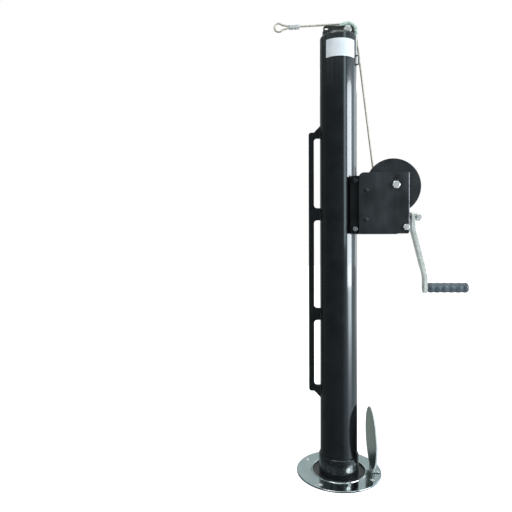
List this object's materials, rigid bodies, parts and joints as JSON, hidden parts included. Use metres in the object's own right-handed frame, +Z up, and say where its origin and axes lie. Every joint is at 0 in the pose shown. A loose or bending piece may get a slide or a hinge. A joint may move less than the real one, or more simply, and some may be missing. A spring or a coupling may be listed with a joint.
{
  "type": "tennis net post",
  "caption": "Round steel tennis net post with worm winch and crank, wire cable over a top pulley, lacing bar, floor plate with hinged lid and ground sleeve.",
  "frame": {"origin": "on the post's axis, in the plane of the floor plate's underside", "axes": "+Z up along the post, +X outwards from the court towards the winch, -Y towards the viewer of the picture"},
  "size_m": [0.474, 0.2032, 1.3395],
  "materials": {
    "gloss_black": "glossy black enamel",
    "satin_black": "satin black powder coat",
    "zinc": "bright zinc plating, slightly dull",
    "bright_steel": "bright plated steel",
    "chrome": "polished chrome plate with fine brushing",
    "bronze": "plain bronze, machined",
    "wire_rope": "galvanised wire rope",
    "grip_plastic": "matt dark grey moulding",
    "cast_metal": "cast and machined"
  },
  "bodies": {
    "ground": {"ground_sleeve": "satin_black", "floor_plate": "chrome", "plate_screw_1": "bright_steel", "plate_screw_2": "bright_steel", "plate_screw_3": "bright_steel", "plate_screw_4": "bright_steel", "hinge_leaf": "chrome", "leaf_rivet_1": "chrome", "leaf_rivet_2": "chrome", "hinge_pin": "bright_steel"},
    "lid": {"lid": "chrome", "lid_strap": "chrome", "strap_rivet_1": "chrome", "strap_rivet_2": "chrome"},
    "post": {"post_tube": "gloss_black", "top_cap": "gloss_black", "pulley_bolt": "bright_steel", "pulley_nut": "bright_steel", "guard_staple": "zinc", "lacing_bar": "gloss_black", "floor_collar": "gloss_black", "collar_screw": "bright_steel", "winch_bracket": "satin_black", "winch_front_plate": "satin_black", "winch_rear_plate": "satin_black", "spacer_tube": "satin_black", "spacer_bolt": "bright_steel", "spacer_nut": "bright_steel", "worm_bearing_plate": "satin_black", "worm_bush_inner": "bronze", "worm_bush_outer": "bronze", "reel_axle": "bright_steel", "reel_axle_nut": "bright_steel", "net_cable": "wire_rope", "cable_tail": "wire_rope", "cable_ferrule": "cast_metal", "cable_eye": "wire_rope", "bracket_bolt_1": "zinc", "bracket_nut_1": "zinc", "front_plate_rivet_1": "satin_black", "rear_plate_rivet_1": "satin_black", "bracket_bolt_2": "zinc", "bracket_nut_2": "zinc", "front_plate_rivet_2": "satin_black", "rear_plate_rivet_2": "satin_black"},
    "pulley": {"pulley": "cast_metal", "pulley_bush": "bronze"},
    "reel": {"reel": "satin_black", "reel_bush_front": "bronze", "reel_bush_rear": "bronze", "worm_wheel": "cast_metal", "wheel_screw_1": "zinc", "wheel_screw_2": "zinc", "wheel_screw_3": "zinc", "wheel_screw_4": "zinc"},
    "crank": {"worm_shaft": "zinc", "crank_arm": "zinc", "crank_nut": "bright_steel", "grip_pin": "zinc"},
    "grip": {"hand_grip": "grip_plastic"}
  },
  "joints": [
    {"name": "lid_hinge", "type": "hinge", "parent": "ground", "child": "lid", "pos_m": [0.0802, 0, 0.0072], "axis": [0, 1, 0], "range_deg": [-11, 85]},
    {"name": "post_lift", "type": "slide", "parent": "ground", "child": "post", "axis": [0, 0, 1], "range_m": [0, 0.25]},
    {"name": "pulley_spin", "type": "hinge", "parent": "post", "child": "pulley", "pos_m": [0.0207, 0, 1.0585], "axis": [0, 1, 0], "continuous": true},
    {"name": "crank_spin", "type": "hinge", "parent": "post", "child": "crank", "pos_m": [0.1, 0.022, 0.617], "axis": [1, 0, 0], "continuous": true},
    {"name": "reel_spin", "type": "hinge", "parent": "post", "child": "reel", "pos_m": [0.1255, 0, 0.687], "axis": [0, 1, 0], "continuous": true},
    {"name": "grip_spin", "type": "hinge", "parent": "crank", "child": "grip", "pos_m": [0.27, 0.022, 0.443], "axis": [1, 0, 0], "continuous": true}
  ],
  "couplings": [
    {"joint": "reel_spin", "follows": "crank_spin", "ratio": 0.027778}
  ]
}
